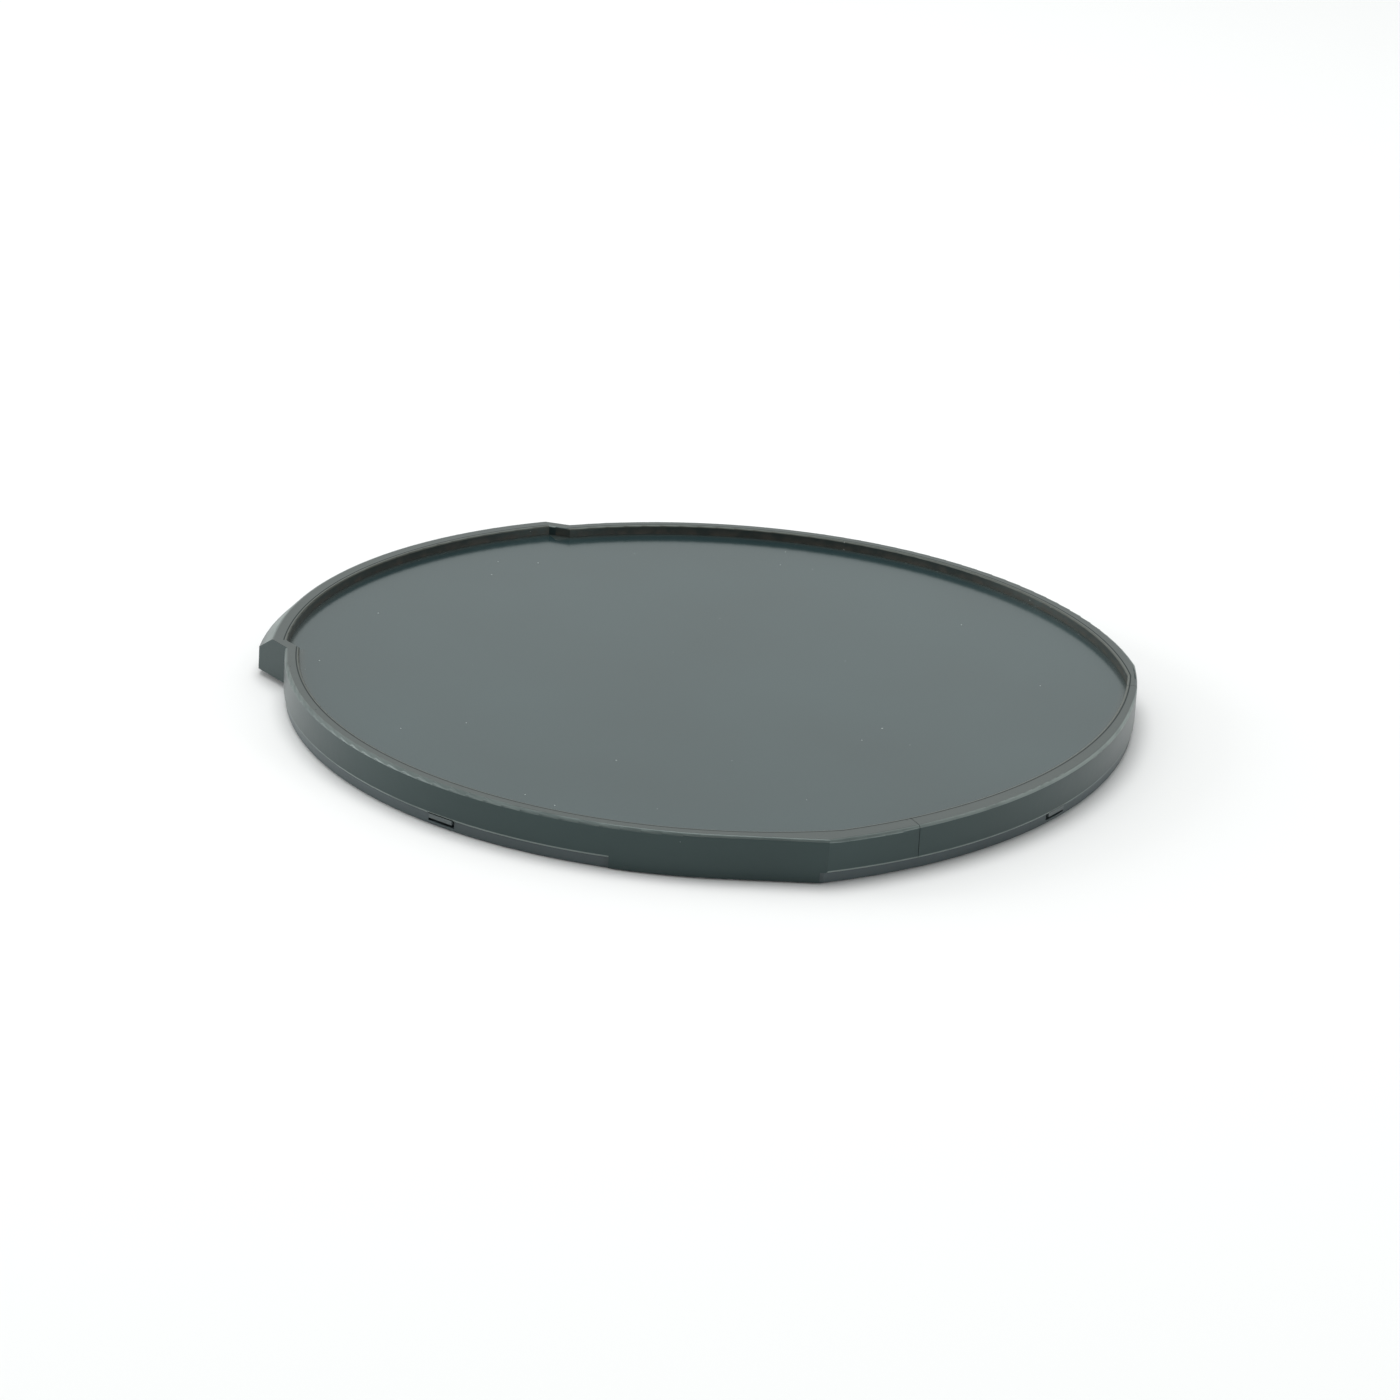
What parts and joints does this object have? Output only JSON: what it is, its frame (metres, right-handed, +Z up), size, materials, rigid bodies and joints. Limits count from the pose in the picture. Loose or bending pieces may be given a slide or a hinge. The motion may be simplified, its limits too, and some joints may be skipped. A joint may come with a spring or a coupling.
{
  "type": "access cover",
  "caption": "Shallow round moulded access cover with a raised rim, a recessed glossy panel, a flared lip on one side and sprung snap catches.",
  "frame": {"origin": "middle of the plan box on the resting surface under the base ring", "axes": "+Z up out of the panel, +Y towards the middle of the flared wing, -Y towards the flattened side"},
  "size_m": [0.3, 0.3027, 0.0155],
  "materials": {
    "rim": "satin moulded plastic, slate grey",
    "panel": "smooth glossy plastic, slate grey",
    "base": "satin moulded plastic, slate grey",
    "catch": "satin moulded plastic, slate grey"
  },
  "bodies": {
    "cover": {"rim_ring": "rim", "rim_segment": "rim", "floor_panel": "panel", "base_ring": "base"},
    "left_catch": {"left_catch": "catch"},
    "right_catch": {"right_catch": "catch"},
    "front_catch": {"front_catch": "catch"}
  },
  "joints": [
    {"name": "left_catch_hinge", "type": "hinge", "parent": "cover", "child": "left_catch", "pos_m": [-0.14405, -0.00034, 0.0074], "axis": [-0.0593, -0.9982, 0], "range_deg": [0, 10], "stiffness_Nm_per_rad": 0.05, "springref_deg": -5.73},
    {"name": "right_catch_hinge", "type": "hinge", "parent": "cover", "child": "right_catch", "pos_m": [0.14414, -0.0157, 0.0074], "axis": [0.0471, 0.9989, 0], "range_deg": [0, 10], "stiffness_Nm_per_rad": 0.05, "springref_deg": -5.73},
    {"name": "front_catch_hinge", "type": "hinge", "parent": "cover", "child": "front_catch", "pos_m": [-0.00526, -0.14545, 0.0074], "axis": [0.9999, -0.0105, 0], "range_deg": [0, 10], "stiffness_Nm_per_rad": 0.05, "springref_deg": -5.73}
  ]
}
